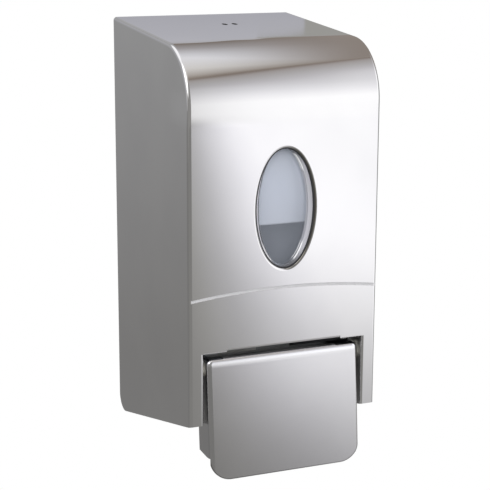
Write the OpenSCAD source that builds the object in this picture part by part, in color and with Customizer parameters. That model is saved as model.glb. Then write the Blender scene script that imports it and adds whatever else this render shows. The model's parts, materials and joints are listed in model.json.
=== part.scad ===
// Wall soap dispenser: a hinged sheet metal cover with a push lever, over a tank and a piston pump.
// Lengths are in millimetres. Depth is measured forward from the wall, height from the corner
// of the cover's side outline. The origin is the middle of the wall screws, on the wall.

/* [Cover] */
// Width over the cover's sides
cover_w = 110; // [100:1:125]
// Depth from the wall to the cover's front
cover_d = 122; // [116:1:132]
// Height of the cover at the wall
cover_h = 238; // [230:1:255]
// Thickness of the cover's sheet
cover_sheet = 1; // [0.8:0.1:1.4]
// Outside radius of the long bent edges
bend_r = 2; // [1.6:0.1:3]
// Radius of the curve from the top to the front
brow_r = 32; // [26:1:38]
// Fall of the top towards the front, in degrees
top_fall = 4.2; // [2:0.2:6]
// Height of the front's lower edge
front_rise = 30; // [27:0.5:35]
// Radius of the side's lower rear corner, round the cover's hinge
heel_r = 9; // [8:0.5:11]
// Gap between the cover's rear edge and the wall
wall_gap = 1; // [0.5:0.1:1.5]

/* [Cover hinge] */
// Diameter of the hinge studs
stud_d = 5; // [4:0.5:6]
// Length of the studs past the lugs
stud_end = 1; // [0.5:0.5:2]
// Thickness of the hinge lugs
lug_t = 7; // [5:0.5:9]
// Wall of the lugs round the studs
lug_wall = 4; // [3:0.5:5]
// Radial gap of a pin in its bore
running_gap = 0.05; // [0.02:0.01:0.1]

/* [Window] */
// Width of the oval window
window_w = 33.4; // [26:0.2:44]
// Height of the oval window
window_tall = 64.6; // [50:0.2:76]
// Height of the window's middle
window_mid = 144.8; // [138:0.2:150]
// Width of the coined edge round the window
coin_w = 1.6; // [1:0.2:2]
// Depth of the coined edge in the sheet
coin_depth = 0.6; // [0.3:0.1:0.6]
// Thickness of the gasket behind the sheet
gasket_t = 3; // [2:0.5:4]
// Width of the gasket and of the lens flange round the window
gasket_rim = 5; // [4:0.5:7]
// Thickness of the lens's flange
lens_t = 2; // [1.5:0.5:3]
// Rise of the lens's rim into the window
lens_rise = 2.6; // [1:0.1:3]
// Thickness of the lens's sunk middle
lens_pane = 2.2; // [1.5:0.1:2.4]
// Width of the bevel from the rim down to the sunk middle
lens_bevel = 2.4; // [1:0.2:4]
// Gap between the lens's rim and the gasket
lens_gap = 0.4; // [0.2:0.1:0.8]
// Flat edge of the lens's rim
lens_land = 0.3; // [0.2:0.1:0.6]

/* [Trim line] */
// Radius of the curved line across the front
trim_r = 390; // [300:10:480]
// Width of the line
trim_line_w = 1.6; // [1:0.2:2.4]
// Depth of the line in the sheet
trim_depth = 0.3; // [0.2:0.1:0.4]
// Sideways place of the line's highest point
trim_peak_x = -2; // [-20:1:20]
// Height of the line's highest point
trim_peak = 102.3; // [98:0.1:106]

/* [Lever opening] */
// Width of the front left on each side of the lever's opening
notch_side = 8.4; // [7.6:0.1:10]
// Height of the opening's top
notch_top = 69.8; // [66:0.2:74]
// Depth of the bent-in sides of the opening
return_d = 17; // [15:0.5:20]
// Outside radius of the bent-in edges
return_bend = 1.4; // [1.4:0.1:1.8]
// Width of the bent-in tongue over the lever
head_w = 67; // [50:1:80]
// Depth of that tongue
head_d = 8; // [5:0.5:10]
// Height of the tongue above the opening's top
head_rise = 0.3; // [0.2:0.1:2]

/* [Lever] */
// Gap between the lever and each side of its opening
lever_gap = 2.1; // [1.9:0.1:3.5]
// Length of the lever's face
lever_tall = 67.5; // [62:0.5:70]
// Thickness of the lever's sheet
lever_sheet = 1.2; // [1:0.1:1.6]
// Outside radius of the lever's folded edges
lever_bend = 2.6; // [2:0.1:2.8]
// Outward lean of the lever's lower end, in degrees
lever_tilt = 5; // [3:0.5:7]
// Radius of the lever's upper corners, seen from the front
lever_round = 3.2; // [3:0.1:4]
// Radius of the face's lower corners
lever_corner = 12; // [9:0.5:14]
// Depth of the lever's side skirts
skirt_d = 16; // [14:0.5:19]
// Height of the skirts' lower end above the face's lower edge
skirt_lift = 12.5; // [12:0.5:16]
// Length of the slanted part of the skirts' lower end
skirt_slant = 11; // [8:0.5:12]
// Rise of the slanted part
skirt_slant_rise = 1.5; // [0.5:0.5:4]
// Depth of the fold along the lever's top
lever_fold = 8; // [5:0.5:9]
// Distance of the pivot behind the cover's front
pivot_set = 10.9; // [10.5:0.1:12]
// Distance of the pivot below the opening's top
pivot_drop = 10.5; // [10.2:0.1:12]
// Distance of the pivot behind the lever's face
pivot_back = 10.5; // [9.5:0.1:11.5]
// Distance of the pivot below the lever's top
pivot_below = 6.5; // [6:0.1:7]
// Diameter of the lever's pin
pin_d = 4; // [3:0.5:5]
// Wall of the bushes round the pin
bush_wall = 1.5; // [1:0.25:2]
// Width of the bushes' collars
collar_rim = 1.5; // [1:0.25:2]
// Length of the bushes past the inside of the skirts
bush_end = 1; // [0.5:0.25:2]
// Side play of the lever at each bush
side_play = 0.3; // [0.2:0.1:0.5]
// Length of the pin past the bent-in sides
pin_end = 2.5; // [2:0.5:3]
// Thickness of the pin's clips
clip_t = 0.8; // [0.6:0.1:1]
// Width of the clips round the pin
clip_rim = 2; // [1.5:0.25:2.5]
// Radial depth of the clip grooves
clip_groove = 0.4; // [0.3:0.1:0.6]
// Width of the clips' open mouth
clip_mouth = 2.6; // [2:0.1:3]

/* [Pusher] */
// Width of the pusher block
pusher_w = 24; // [16:1:32]
// Radius of the pusher's nose
nose_r = 6; // [5:0.5:7]
// Distance of the nose's centre behind the pivot
nose_back = 5; // [3:0.5:7]
// Distance of the nose's centre below the pivot
nose_drop = 30; // [27:0.5:32]
// Height of the pusher where it meets the lever
pusher_root = 24; // [18:1:28]
// Depth of the pusher's side pockets
pusher_pocket = 9; // [5:1:10]
// Wall left round the pusher's pockets
pusher_wall = 2.5; // [2:0.25:3]
// Gap between the nose and the plunger
touch_gap = 0.3; // [0.2:0.1:0.5]

/* [Pump] */
// Travel of the plunger
stroke = 8; // [6:0.1:9]
// Diameter of the plunger's pad
pad_d = 18; // [14:1:22]
// Thickness of the plunger's pad
pad_t = 4; // [3:0.5:6]
// Diameter of the plunger's rod
rod_d = 8; // [6:0.5:10]
// Length of the rod from the pad to the piston
rod_l = 20; // [17:0.5:23]
// Length of the piston
piston_l = 8; // [6:0.5:10]
// Radial gap of the piston in its bore
piston_gap = 0.1; // [0.05:0.01:0.1]
// Diameter of the pump's bore
bore_d = 16; // [14:0.5:18]
// Wall of the pump's barrel
barrel_wall = 4; // [3:0.5:5]
// Length of the chamber left when the plunger is right in
chamber_rest = 16; // [14:0.5:18]
// Thickness of the barrel's closed end
end_wall = 4; // [3:0.5:6]
// Gap between the piston and its stop
stop_gap = 0.3; // [0.2:0.1:0.5]
// Thickness of the cap's end
cap_plate = 3; // [2:0.5:4]
// Length of the cap's collar over the barrel
cap_collar = 7; // [5:0.5:10]
// Wall of the cap's collar
cap_wall = 3; // [2:0.5:4]
// Diameter of the grip grooves round the cap
grip_groove = 2; // [1.5:0.25:2.5]
// Number of grip grooves
grip_count = 16; // [12:2:24]
// Section diameter of the piston's ring
ring_d = 2; // [1.5:0.25:2.5]
// Wire diameter of the return spring
return_wire = 1; // [0.8:0.1:1.2]
// Mean diameter of the return spring
return_coil = 11; // [9:0.5:12]
// Turns of the return spring
return_turns = 6; // [5:1:8]

/* [Pump ports] */
// Distance of the inlet from the barrel's closed end
inlet_set = 8; // [7:0.5:9]
// Distance of the outlet from the barrel's closed end
outlet_set = 11; // [9:0.5:12]
// Height of the shelf's underside above the pump's axis
neck_rise = 46; // [44:0.5:50]
// Wall of the inlet neck round the tank's spigot
neck_wall = 3; // [2:0.5:4]
// Thickness of the valve seat in the neck
seat_t = 3; // [2:0.5:4]
// Diameter of the inlet valve's disc
disc_d = 10; // [9:0.5:11]
// Thickness of the inlet valve's disc
disc_t = 1; // [0.8:0.1:1.4]
// Diameter of the inlet valve's stem
stem_d = 3; // [2.5:0.25:3.5]
// Diameter of the flow holes in the seat
flow_d = 2; // [1.5:0.25:2.25]
// Gap round the valve's disc
disc_gap = 1; // [0.8:0.1:1.5]
// Thickness of the pump's flange under the shelf
flange_t = 4; // [3:0.5:5]
// Length of the pump's flange
flange_l = 46; // [42:1:52]
// Width of the pump's flange
flange_w = 28; // [26:1:32]
// Distance between the pump's screws
flange_pitch = 34; // [32:1:38]

/* [Nozzle] */
// Diameter of the outlet spigot
outlet_d = 11; // [10:0.5:13]
// Diameter of the outlet's bore
outlet_bore = 5; // [4:0.5:6]
// Length of the outlet spigot below the barrel
outlet_l = 5; // [4:0.5:6]
// Wall of the nozzle's socket
nozzle_wall = 2; // [1.5:0.25:3]
// Length of the nozzle below the outlet spigot
nozzle_l = 8; // [7:0.5:9]
// Outside diameter of the nozzle's tip
tip_d = 10; // [9:0.5:11]
// Bore of the nozzle's tip
tip_bore = 7.4; // [7:0.2:7.8]
// Thickness of the outlet valve's flange
bill_flange = 1; // [0.8:0.1:1.4]
// Diameter of the outlet valve's body
bill_d = 6.4; // [5.6:0.2:6.6]
// Length of the outlet valve's body
bill_l = 5.5; // [4.5:0.5:6]
// Thickness of the outlet valve's lips
bill_lip = 0.8; // [0.6:0.1:1]
// Gap between parts that push together
push_gap = 0.1; // [0.05:0.05:0.2]

/* [Tank] */
// Wall of the tank
tank_wall = 2; // [1.5:0.25:2.5]
// Gap between the tank and the cover's sides
tank_gap = 4; // [4:0.5:7]
// Depth of the tank's rear wall from the wall
tank_back = 9; // [8:0.5:11]
// Gap between the tank and the inside of the cover's front
tank_front_gap = 11; // [10:0.5:15]
// Distance of the sump's front ahead of the spigot
sump_lap = 24; // [20:1:28]
// Height of the step above the sump's floor
step_up = 56; // [50:1:60]
// Distance of the tank's rim below the top of the cover
head_room = 43; // [43:1:55]
// Radius of the tank's upright corners
tank_corner = 7; // [4:1:10]
// Outside diameter of the tank's spigot
spigot_d = 16; // [15:0.5:18]
// Bore of the tank's spigot
spigot_bore = 10; // [8:0.5:11]
// Length of the spigot below the sump
spigot_l = 15; // [14:0.5:17]
// Section diameter of the spigot's ring
spigot_ring = 2; // [1.5:0.25:2.25]
// Distance of the spigot's ring above its lower end
spigot_ring_up = 5; // [4:0.5:6]
// Thickness of the lid
lid_t = 2; // [1.5:0.5:3]
// Depth of the lid's lip in the tank
lid_lip = 5; // [3:0.5:8]
// Wall of the lid's lip
lip_wall = 1.6; // [1.2:0.2:2]
// Gap between the lid's lip and the tank
lip_gap = 0.4; // [0.2:0.1:0.8]
// Height of the lid's grip bars
grip_h = 2; // [1:0.5:2]
// Length of the lid's grip bars
grip_l = 50; // [30:2:70]

/* [Shelf] */
// Thickness of the shelf
shelf_t = 3; // [2.5:0.5:4]
// Gap between the shelf and the cover's sides
shelf_gap = 9; // [9:0.5:14]
// Height of the shelf's rear flange
apron_h = 30; // [26:1:32]
// Thickness of the shelf's webs
web_t = 2.5; // [2:0.5:3]
// Distance between the shelf's screws, sideways
apron_pitch_x = 64; // [56:1:66]
// Distance between the shelf's screws, upright
apron_pitch_z = 14; // [12:1:16]
// Diameter of the bosses behind the shelf's flange
boss_d = 8; // [7:0.5:9]

/* [Small screws] */
// Shank diameter of the small screws
screw_d = 3; // [2.5:0.25:3.5]
// Head diameter of the small screws
head_dia = 6; // [5.5:0.25:6.5]
// Head height of the small screws
head_t = 2; // [1.5:0.25:2.5]
// Length of the cross cut in the screw heads
slot_l = 3.6; // [3:0.2:4.4]
// Width of that cut
slot_w = 1; // [0.8:0.1:1.2]
// Radial gap of a small screw in its hole
screw_gap = 0.05; // [0.02:0.01:0.1]

/* [Seats] */
// Play of a small piece in its seat
seat_play = 0.2; // [0.1:0.05:0.3]
// Gap round the spigot in the shelf
shelf_play = 0.5; // [0.3:0.1:1]

/* [Latch] */
// Sideways place of the key holes' middle
key_x = 1.5; // [-6:0.5:6]
// Depth of the key holes from the wall
key_u = 39; // [37:1:46]
// Distance between the key holes
key_pitch = 6; // [5:0.5:9]
// Diameter of the key holes
key_d = 2.2; // [1.8:0.2:3]
// Drop of the catch's blade below the cover's top
catch_drop = 8.5; // [7:0.5:9]
// Thickness of the catch
catch_sheet = 1.2; // [1:0.1:1.6]
// Width of the catch
catch_w = 26; // [20:1:32]
// Length of the catch's welded foot
catch_foot = 14; // [10:1:16]
// Gap between the catch and the bolt
catch_gap = 0.8; // [0.6:0.1:1.2]
// Width of the bolt
bolt_w = 22; // [18:1:28]
// Depth of the bolt
bolt_d = 12; // [11:0.5:14]
// Height of the bolt
bolt_tall = 14; // [12:0.5:15]
// Slope cut on the bolt's front edge
bolt_ramp = 5; // [3:0.5:6]
// Travel of the bolt
bolt_travel = 6; // [5:0.5:7]
// Overlap of the raised bolt with the catch
bolt_bite = 2.6; // [2:0.1:3]
// Gap between the bolt and its guide
slide_gap = 0.3; // [0.2:0.1:0.5]
// Wall of the bolt's guide
guide_wall = 2.5; // [2:0.5:3]
// Height of the bolt standing out of its guide when pressed
bolt_stand = 3.5; // [3:0.5:4.5]
// Room below the pressed bolt
bolt_room = 5.5; // [4:0.5:6]
// Depth of the spring's pocket in the bolt
pocket_l = 6; // [4:0.5:8]
// Radial gap of the spring in its pocket
pocket_gap = 0.8; // [0.5:0.1:1.2]
// Wire diameter of the latch spring
latch_wire = 0.8; // [0.6:0.1:1]
// Mean diameter of the latch spring
latch_coil = 7; // [6:0.5:8]
// Turns of the latch spring
latch_turns = 5; // [4:1:6]

/* [Wall plate] */
// Thickness of the wall plate
plate_t = 2.5; // [2:0.5:3.5]
// Gap between the wall plate and the cover's sides
plate_gap = 1; // [0.6:0.1:1.5]
// Depth of the plate's rim from the wall
rim_d = 12; // [9:0.5:14]
// Thickness of the rim
rim_t = 2; // [1.5:0.25:2.5]
// Gap between the plate and the cover's top
plate_top_gap = 3; // [2:0.5:4]
// Height of the plate's lower edge above the lowest point of the heel
plate_foot = 1; // [0.5:0.5:2]
// Thickness of the ribs behind the tank
rib_t = 2; // [1.5:0.5:3]
// Distance between those ribs
rib_pitch = 44; // [36:1:50]
// Height of the wall screws' middle
screw_mid = 110; // [104:1:114]
// Distance between the wall screws, sideways
screw_pitch_x = 60; // [56:1:70]
// Distance between the wall screws, upright
screw_pitch_z = 140; // [130:1:150]
// Diameter of the wall screws' holes
screw_hole = 5; // [4:0.5:6]

/* [Hidden] */
$fn = 64;
past = 20;
cut = 1;
hair = 0.01;
brow_lap = 0.4;
sides = [-1, 1];

// Cover outline
inner_half = cover_w / 2 - cover_sheet;
rise_angle = atan(front_rise / cover_d);
heel_u = wall_gap + heel_r;
heel_h = heel_u * tan(rise_angle) + heel_r / cos(rise_angle);
brow_u = cover_d - brow_r;
brow_h = cover_h - brow_u * tan(top_fall) - brow_r / cos(top_fall);
function top_inside(depth) = cover_h - depth * tan(top_fall) - (cover_sheet + hair) / cos(top_fall);

// Lever and pusher, worked out from the opening and the pivot
notch_w = cover_w - 2 * notch_side;
lever_w = notch_w - 2 * lever_gap;
pivot_u = cover_d - pivot_set;
pivot_h = notch_top - pivot_drop;
lever_top = pivot_below;
lever_low = pivot_below - lever_tall;
nose_u = pivot_u - nose_back * cos(lever_tilt) + nose_drop * sin(lever_tilt);
nose_h = pivot_h - nose_back * sin(lever_tilt) - nose_drop * cos(lever_tilt);

bush_d = pin_d + 2 * running_gap + 2 * bush_wall;
clip_x = notch_w / 2 + cover_sheet + (clip_t + seat_play) / 2;
gasket_rear = cover_d - cover_sheet - gasket_t;

// Pump, worked back from the nose
axis_h = nose_h;
pad_face = nose_u - nose_r - touch_gap;
pad_rear = pad_face - pad_t;
piston_front = pad_rear - rod_l;
piston_rear = piston_front - piston_l;
chamber_l = stroke + chamber_rest;
chamber_end = piston_rear - chamber_l;
barrel_rear = chamber_end - end_wall;
barrel_front = piston_front + stop_gap;
barrel_d = bore_d + 2 * barrel_wall;
piston_mid = piston_rear + piston_l / 2;
ring_mid_d = bore_d - 2 * running_gap - ring_d;
inlet_u = chamber_end + inlet_set;
outlet_u = chamber_end + outlet_set;

// Shelf and tank, worked up from the pump
shelf_under = axis_h + neck_rise;
sump_floor = shelf_under + shelf_t;
sump_front = inlet_u + sump_lap;
step_h = sump_floor + step_up;
tank_top = cover_h - head_room;
tank_half = inner_half - tank_gap;
tank_front = cover_d - cover_sheet - tank_front_gap;
spigot_end = sump_floor - spigot_l;
socket_d = spigot_d + 2 * push_gap;
neck_d = socket_d + 2 * neck_wall;
spigot_seal_d = socket_d - 2 * running_gap - spigot_ring;
spigot_seal_h = spigot_end + spigot_ring_up;
seat_top = spigot_end - push_gap;
seat_low = seat_top - seat_t;
valve_bore = disc_d + 2 * disc_gap;
shelf_front = sump_front;
shelf_half = inner_half - shelf_gap;
shelf_back = tank_back;
apron_mid = shelf_under - apron_h / 2;

// Nozzle
outlet_end = axis_h - barrel_d / 2 - outlet_l;
tip_h = outlet_end - nozzle_l;

// Latch
catch_u = key_u - bolt_d / 2 - catch_gap;
catch_low = top_inside(catch_u) - catch_drop;
bolt_top = catch_low + bolt_bite - bolt_travel;
bolt_low = bolt_top - bolt_tall;
guide_top = bolt_top - bolt_stand;
guide_floor = bolt_low - bolt_room;
guide_half_w = bolt_w / 2 + slide_gap;
guide_half_d = bolt_d / 2 + slide_gap;

// Wall plate
plate_half = inner_half - plate_gap;
plate_top = top_inside(0) - plate_top_gap;
plate_low = heel_h - heel_r + plate_foot;
lug_r = stud_d / 2 + lug_wall;

// Moves the assembly so that the middle of the wall screws is the origin
module wall_frame() {
    translate([0, 0, -screw_mid]) children();
}

// A place given by depth, height and sideways offset
module at(depth, height, x = 0) {
    translate([x, -depth, height]) children();
}

// Turns a side outline of depth and height, and draws it out across the width
module across(width) {
    translate([width / 2, 0, 0]) rotate([90, 0, -90]) linear_extrude(width) children();
}

// A box between two depths and two heights, centred sideways on x
module slab(width, depths, heights, x = 0) {
    at(depths[1], heights[0], x - width / 2)
        cube([width, depths[1] - depths[0], heights[1] - heights[0]]);
}

// A round bar from one depth to another
module bar(d, from, to) {
    translate([0, -from, 0]) rotate([90, 0, 0]) cylinder(d = d, h = to - from);
}

// A round bar across the width, from one sideways place to another
module cross_bar(d, from, to) {
    translate([from, 0, 0]) rotate([0, 90, 0]) cylinder(d = d, h = to - from);
}

// A round post from one height to another
module post(d, from, to) {
    translate([0, 0, from]) cylinder(d = d, h = to - from);
}

// A rectangle from base to reach with its two outer corners rounded
module bent_section(width, base, reach, r) {
    translate([-width / 2, base]) square([width, reach - r - base]);
    translate([r - width / 2, base]) square([width - 2 * r, reach - base]);
    for (s = sides) translate([s * (width / 2 - r), reach - r]) circle(r);
}

// A rectangle centred on the origin with round corners
module round_plate(width, depth, r) {
    square([width - 2 * r, depth], center = true);
    square([width, depth - 2 * r], center = true);
    for (s = sides, t = sides) translate([s * (width / 2 - r), t * (depth / 2 - r)]) circle(r);
}

// An oval of the given half axes
module oval(half_w, half_h) {
    polygon([for (a = [0 : 6 : 354]) [half_w * cos(a), half_h * sin(a)]]);
}

// A coil spring along +Z, drawn as one tube with eight rings to a turn, which prints its least gap
module coil_spring(wire, coil, turns, length) {
    edges = 6;
    rings = 8 * turns;
    last = rings * edges;
    foot = wire / 2 + seat_play;
    climb = (length - 2 * foot) / rings;
    points = [
        for (i = [0 : rings], j = [0 : edges - 1])
            let (turn = 45 * i, b = 360 * j / edges, r = (coil + wire * cos(b)) / 2)
                [r * cos(turn), r * sin(turn), foot + climb * i + wire / 2 * sin(b)]
    ];
    walls = [
        for (i = [0 : rings - 1], j = [0 : edges - 1])
            let (k = (j + 1) % edges, a = i * edges, b = a + edges)
                each [[a + j, b + k, b + j], [a + j, a + k, b + k]]
    ];
    first_cap = [for (j = [1 : edges - 2]) [0, j + 1, j]];
    last_cap = [for (j = [1 : edges - 2]) [last, last + j, last + j + 1]];
    echo(least_gap = 8 * climb - wire);
    polyhedron(points, concat(walls, first_cap, last_cap));
}

// A ring of round section about +Z
module seal_ring(middle_d, section_d) {
    rotate_extrude() translate([middle_d / 2, 0]) circle(d = section_d, $fn = 32);
}

// A groove for such a ring, cut in from an outside diameter
module seal_groove(outer_d, floor_d, width) {
    difference() {
        cylinder(d = outer_d + 2 * cut, h = width, center = true);
        cylinder(d = floor_d, h = width + 2 * cut, center = true);
    }
}

// A small pan-head screw along +Z, with its head's underside at zero and its shank upwards
module small_screw(length) {
    difference() {
        translate([0, 0, -head_t]) cylinder(d = head_dia, h = head_t);
        for (turn = [0, 90]) rotate(turn)
            translate([0, 0, -head_t]) cube([slot_l, slot_w, head_t], center = true);
    }
    cylinder(d = screw_d, h = length);
}

// The cover's solid form, with its front, brow and top drawn in by skin. The top starts inside the
// brow and lies a hair deeper, so that no faces of the two coincide.
module cover_form(skin) {
    width = cover_w - 2 * skin;
    r = bend_r - skin;
    translate([0, 0, -past]) rotate(180)
        linear_extrude(brow_h + past) bent_section(width, -past, cover_d - skin, r);
    at(brow_u, brow_h) rotate([90, 0, -90]) {
        rotate_extrude(angle = 90 - top_fall) rotate(-90) bent_section(width, 0, brow_r - skin, r);
        rotate(90 - top_fall) rotate([-90, 0, 0]) translate([0, 0, -brow_lap])
            linear_extrude((brow_u + past) / cos(top_fall))
                rotate(-90) bent_section(width - 2 * hair, -brow_r, brow_r - skin - hair, r);
    }
}

// The side outline that trims the cover's rear and lower edges
module side_trim() {
    foot_u = heel_u + heel_r * sin(rise_angle);
    reach = cover_d + past;
    across(cover_w + past) {
        polygon([
            [wall_gap, heel_h], [heel_u, heel_h], [foot_u, foot_u * tan(rise_angle)],
            [reach, reach * tan(rise_angle)], [reach, cover_h + past], [wall_gap, cover_h + past]
        ]);
        translate([heel_u, heel_h]) circle(heel_r);
    }
}

// The sheet bent back at the edge of the lever's opening: x runs away from the edge, y forward
module return_section() {
    difference() {
        union() {
            square([return_bend, return_d - return_bend]);
            translate([return_bend, return_d - return_bend]) circle(return_bend);
        }
        translate([cover_sheet, 0]) square([past, return_d - return_bend]);
        translate([return_bend, return_d - return_bend]) circle(return_bend - cover_sheet);
        translate([return_bend, 0]) square([past, past]);
    }
}

// The curved line pressed across the front
module trim_groove() {
    at(cover_d - trim_depth, trim_peak - trim_r, trim_peak_x) rotate([90, 0, 0]) difference() {
        cylinder(r = trim_r + trim_line_w / 2, h = past);
        cylinder(r = trim_r - trim_line_w / 2, h = 3 * past, center = true);
        translate([0, -trim_r, 0]) cube([4 * trim_r, 2 * trim_r, 3 * past], center = true);
    }
}

// The bent-in sides of the lever's opening, bored for the pin
module side_returns() {
    difference() {
        intersection() {
            for (s = sides) mirror([s < 0 ? 1 : 0, 0, 0])
                at(cover_d - return_d, 0, notch_w / 2) mirror([0, 1, 0])
                    linear_extrude(notch_top) return_section();
            side_trim();
        }
        at(pivot_u, pivot_h) cross_bar(pin_d + 2 * running_gap, -cover_w, cover_w);
    }
}

// The tongue bent in over the lever's top
module head_tongue() {
    at(cover_d - return_d, notch_top + head_rise) across(head_w) mirror([1, -1, 0])
        intersection() {
            return_section();
            translate([0, return_d - head_d]) square([past, head_d]);
        }
}

module cover_shell() {
    front = [cover_d - 2 * cover_sheet, cover_d + cover_sheet];
    color("silver") wall_frame() {
        difference() {
            intersection() {
                difference() {
                    cover_form(0);
                    cover_form(cover_sheet);
                }
                side_trim();
            }
            slab(notch_w + 2 * return_bend, front, [0, notch_top]);
            slab(head_w, front, [0, notch_top + head_rise + return_bend]);
            at(front[0], window_mid) rotate([90, 0, 0])
                linear_extrude(front[1] - front[0]) oval(window_w / 2, window_tall / 2);
            at(cover_d - coin_depth, window_mid) rotate([90, 0, 0])
                linear_extrude(past) oval(window_w / 2 + coin_w, window_tall / 2 + coin_w);
            trim_groove();
            for (s = sides) at(key_u, top_inside(key_u) - cover_sheet, key_x + s * key_pitch / 2)
                cylinder(d = key_d, h = 4 * cover_sheet);
        }
        side_returns();
        head_tongue();
    }
}

module hinge_studs() {
    color("gray") wall_frame() for (s = sides) mirror([s < 0 ? 1 : 0, 0, 0])
        at(heel_u, heel_h) cross_bar(stud_d, plate_half - lug_t - stud_end, inner_half);
}

module cover_catch() {
    color("gray") wall_frame() at(catch_u, top_inside(catch_u), key_x) rotate([top_fall, 0, 0]) {
        translate([-catch_w / 2, 0, -catch_sheet]) cube([catch_w, catch_foot, catch_sheet]);
        translate([-catch_w / 2, 0, -catch_drop]) cube([catch_w, catch_sheet, catch_drop]);
    }
}

module window_gasket() {
    color("dimgray") wall_frame() at(gasket_rear, window_mid) rotate([90, 0, 0])
        linear_extrude(gasket_t) difference() {
            oval(window_w / 2 + gasket_rim, window_tall / 2 + gasket_rim);
            oval(window_w / 2, window_tall / 2);
        }
}

module window_lens() {
    rim_w = window_w / 2 - lens_gap;
    rim_h = window_tall / 2 - lens_gap;
    full = lens_t + lens_rise;
    color("lightsteelblue") wall_frame() at(gasket_rear - lens_t, window_mid) rotate([90, 0, 0])
        difference() {
            union() {
                linear_extrude(lens_t) oval(window_w / 2 + gasket_rim, window_tall / 2 + gasket_rim);
                linear_extrude(full) oval(rim_w, rim_h);
            }
            hull() {
                translate([0, 0, full]) linear_extrude(cut) oval(rim_w - lens_land, rim_h - lens_land);
                translate([0, 0, lens_pane]) linear_extrude(full - lens_pane)
                    oval(rim_w - lens_land - lens_bevel, rim_h - lens_land - lens_bevel);
            }
        }
}

module lever_pin() {
    half = notch_w / 2 + cover_sheet + pin_end;
    color("gray") wall_frame() at(pivot_u, pivot_h) difference() {
        cross_bar(pin_d, -half, half);
        for (s = sides) translate([s * clip_x, 0, 0]) rotate([0, 90, 0])
            seal_groove(pin_d, pin_d - 2 * clip_groove, clip_t + seat_play);
    }
}

module pin_clips() {
    throat = pin_d - 2 * clip_groove;
    outer = pin_d + 2 * clip_rim;
    color("dimgray") wall_frame() at(pivot_u, pivot_h)
        for (s = sides) translate([s * clip_x, 0, 0]) rotate([0, 90, 0]) difference() {
            cylinder(d = outer, h = clip_t, center = true);
            cylinder(d = throat + 2 * running_gap, h = 2 * clip_t, center = true);
            translate([outer / 2, 0, 0]) cube([outer, clip_mouth, 2 * clip_t], center = true);
        }
}

// The lever's frame: the pivot is the origin and the face leans out at its lower end
module lever_frame() {
    wall_frame() at(pivot_u, pivot_h) rotate([-lever_tilt, 0, 0]) children();
}

// The side of the lever's form: a rectangle up to reach and top, with its outer corner rounded
module folded_section(rear, reach, low, top, r) {
    translate([rear, low]) square([reach - r - rear, top - low]);
    translate([rear, low]) square([reach - rear, top - r - low]);
    translate([reach - r, top - r]) circle(r);
}

// The lever's solid form, drawn in by skin, from a rear depth and a lower end, with rounded upper corners
module lever_form(skin, rear, low) {
    r = lever_bend - skin;
    corner = lever_round - skin;
    half = lever_w / 2 - skin;
    reach = pivot_back - skin;
    top = lever_top - skin;
    translate([0, 0, low]) rotate(180) linear_extrude(top - corner - low)
        bent_section(2 * half, rear, reach, r);
    across(2 * (half - corner)) folded_section(rear, reach, low, top, r);
    for (s = sides) mirror([s < 0 ? 1 : 0, 0, 0]) at(0, top - corner, half - corner) rotate([90, 0, 0])
        rotate_extrude(angle = 90) intersection() {
            mirror([1, -1, 0]) folded_section(rear, reach, -past, corner, r);
            translate([0, -past]) square([past, 2 * past]);
        }
}

// The outline of the lever's face, seen from the front
module face_outline() {
    half = lever_w / 2;
    translate([-half, lever_low + lever_corner]) square([lever_w, lever_tall - lever_corner]);
    translate([lever_corner - half, lever_low]) square([lever_w - 2 * lever_corner, lever_tall]);
    for (s = sides) translate([s * (half - lever_corner), lever_low + lever_corner]) circle(lever_corner);
}

module push_lever() {
    rear = pivot_back - skirt_d;
    skirt_low = lever_low + skirt_lift;
    color("lightgray") lever_frame() difference() {
        union() {
            difference() {
                intersection() {
                    lever_form(0, rear, lever_low);
                    across(lever_w + past) polygon([
                        [pivot_back, skirt_low], [rear + skirt_slant, skirt_low],
                        [rear, skirt_low + skirt_slant_rise], [rear, lever_top], [pivot_back, lever_top]
                    ]);
                }
                lever_form(lever_sheet, -past, lever_low - past);
                slab(lever_w - 2 * lever_bend, [-past, pivot_back - lever_fold], [0, lever_top + cut]);
            }
            intersection() {
                lever_form(0, rear, lever_low);
                at(pivot_back - lever_sheet, 0) rotate([90, 0, 0])
                    linear_extrude(lever_sheet) face_outline();
            }
        }
        cross_bar(bush_d + 2 * push_gap, -lever_w, lever_w);
    }
}

module lever_bushes() {
    inside = lever_w / 2 - lever_sheet - bush_end;
    color("ivory") lever_frame() difference() {
        for (s = sides) mirror([s < 0 ? 1 : 0, 0, 0]) {
            cross_bar(bush_d, inside, lever_w / 2 + push_gap);
            cross_bar(bush_d + 2 * collar_rim, lever_w / 2, notch_w / 2 - side_play);
        }
        cross_bar(pin_d + 2 * running_gap, -lever_w, lever_w);
    }
}

module lever_pusher() {
    root = pivot_back - lever_sheet;
    upper = pusher_root / 2 - nose_drop;
    lower = -pusher_root / 2 - nose_drop;
    color("ivory") lever_frame() difference() {
        union() {
            at(-nose_back, -nose_drop) cross_bar(2 * nose_r, -pusher_w / 2, pusher_w / 2);
            across(pusher_w) polygon([
                [root, upper], [root, lower],
                [-nose_back, -nose_drop - nose_r], [-nose_back, -nose_drop + nose_r]
            ]);
        }
        for (s = sides) translate([s * pusher_w / 2, 0, 0]) across(2 * pusher_pocket) polygon([
            [root - pusher_wall, upper - 2 * pusher_wall], [root - pusher_wall, lower + 2 * pusher_wall],
            [-nose_back, pusher_wall - nose_r - nose_drop], [-nose_back, nose_r - pusher_wall - nose_drop]
        ]);
    }
}

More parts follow.
